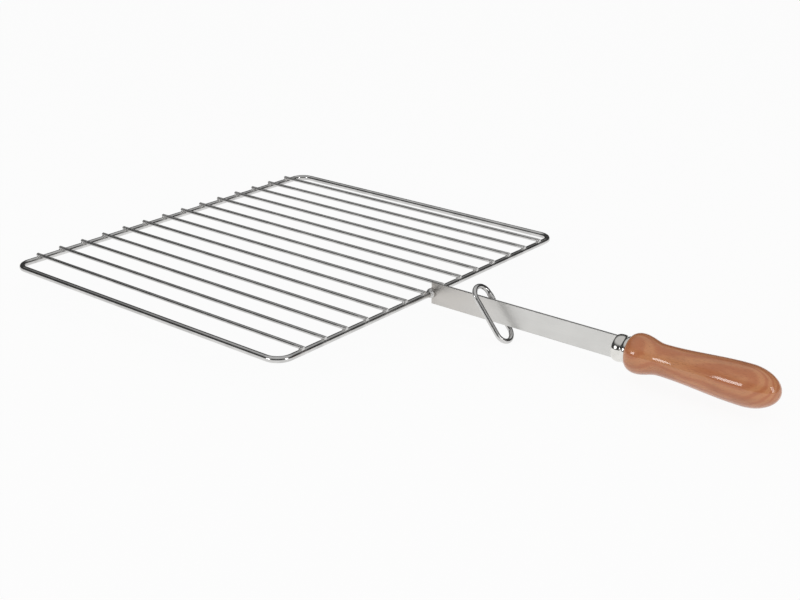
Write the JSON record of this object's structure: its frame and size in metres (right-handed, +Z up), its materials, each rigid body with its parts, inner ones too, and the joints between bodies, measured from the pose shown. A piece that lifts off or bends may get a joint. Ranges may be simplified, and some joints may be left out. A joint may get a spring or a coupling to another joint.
{
  "type": "grill grate",
  "caption": "Barbecue grate of wire frame and welded rods, with a flat steel arm, a sliding wire link on it, and a turned wooden handle.",
  "frame": {"origin": "centre of the rectangular wire frame, on the plane that the frame wire's underside rests on (mount frame_rest)", "axes": "+X along the rods towards the handle, +Y across the rods, +Z up, out of the cooking side"},
  "size_m": [0.598, 0.35, 0.0404],
  "materials": {
    "frame_wire": "bright drawn wire, mirror-like",
    "rods": "bright drawn wire",
    "arm_strip": "satin rolled strip",
    "weld": "uneven weld metal, dull",
    "link_wire": "bright drawn wire, mirror-like",
    "ferrule": "polished",
    "wood": "clear gloss varnish over reddish brown hardwood"
  },
  "bodies": {
    "grate": {"frame_wire": "frame_wire", "rod_01": "rods", "rod_02": "rods", "rod_03": "rods", "rod_04": "rods", "rod_05": "rods", "rod_06": "rods", "rod_07": "rods", "rod_08": "rods", "rod_09": "rods", "rod_10": "rods", "rod_11": "rods", "rod_12": "rods", "rod_13": "rods", "rod_14": "rods", "arm": "arm_strip", "arm_weld_front": "weld", "arm_weld_rear": "weld", "ferrule": "ferrule", "handle": "wood"},
    "link": {"link": "link_wire", "link_weld": "weld"}
  },
  "joints": [
    {"name": "link_slide", "type": "slide", "parent": "grate", "child": "link", "axis": [1, 0, 0], "range_m": [-0.05, 0.093]}
  ]
}
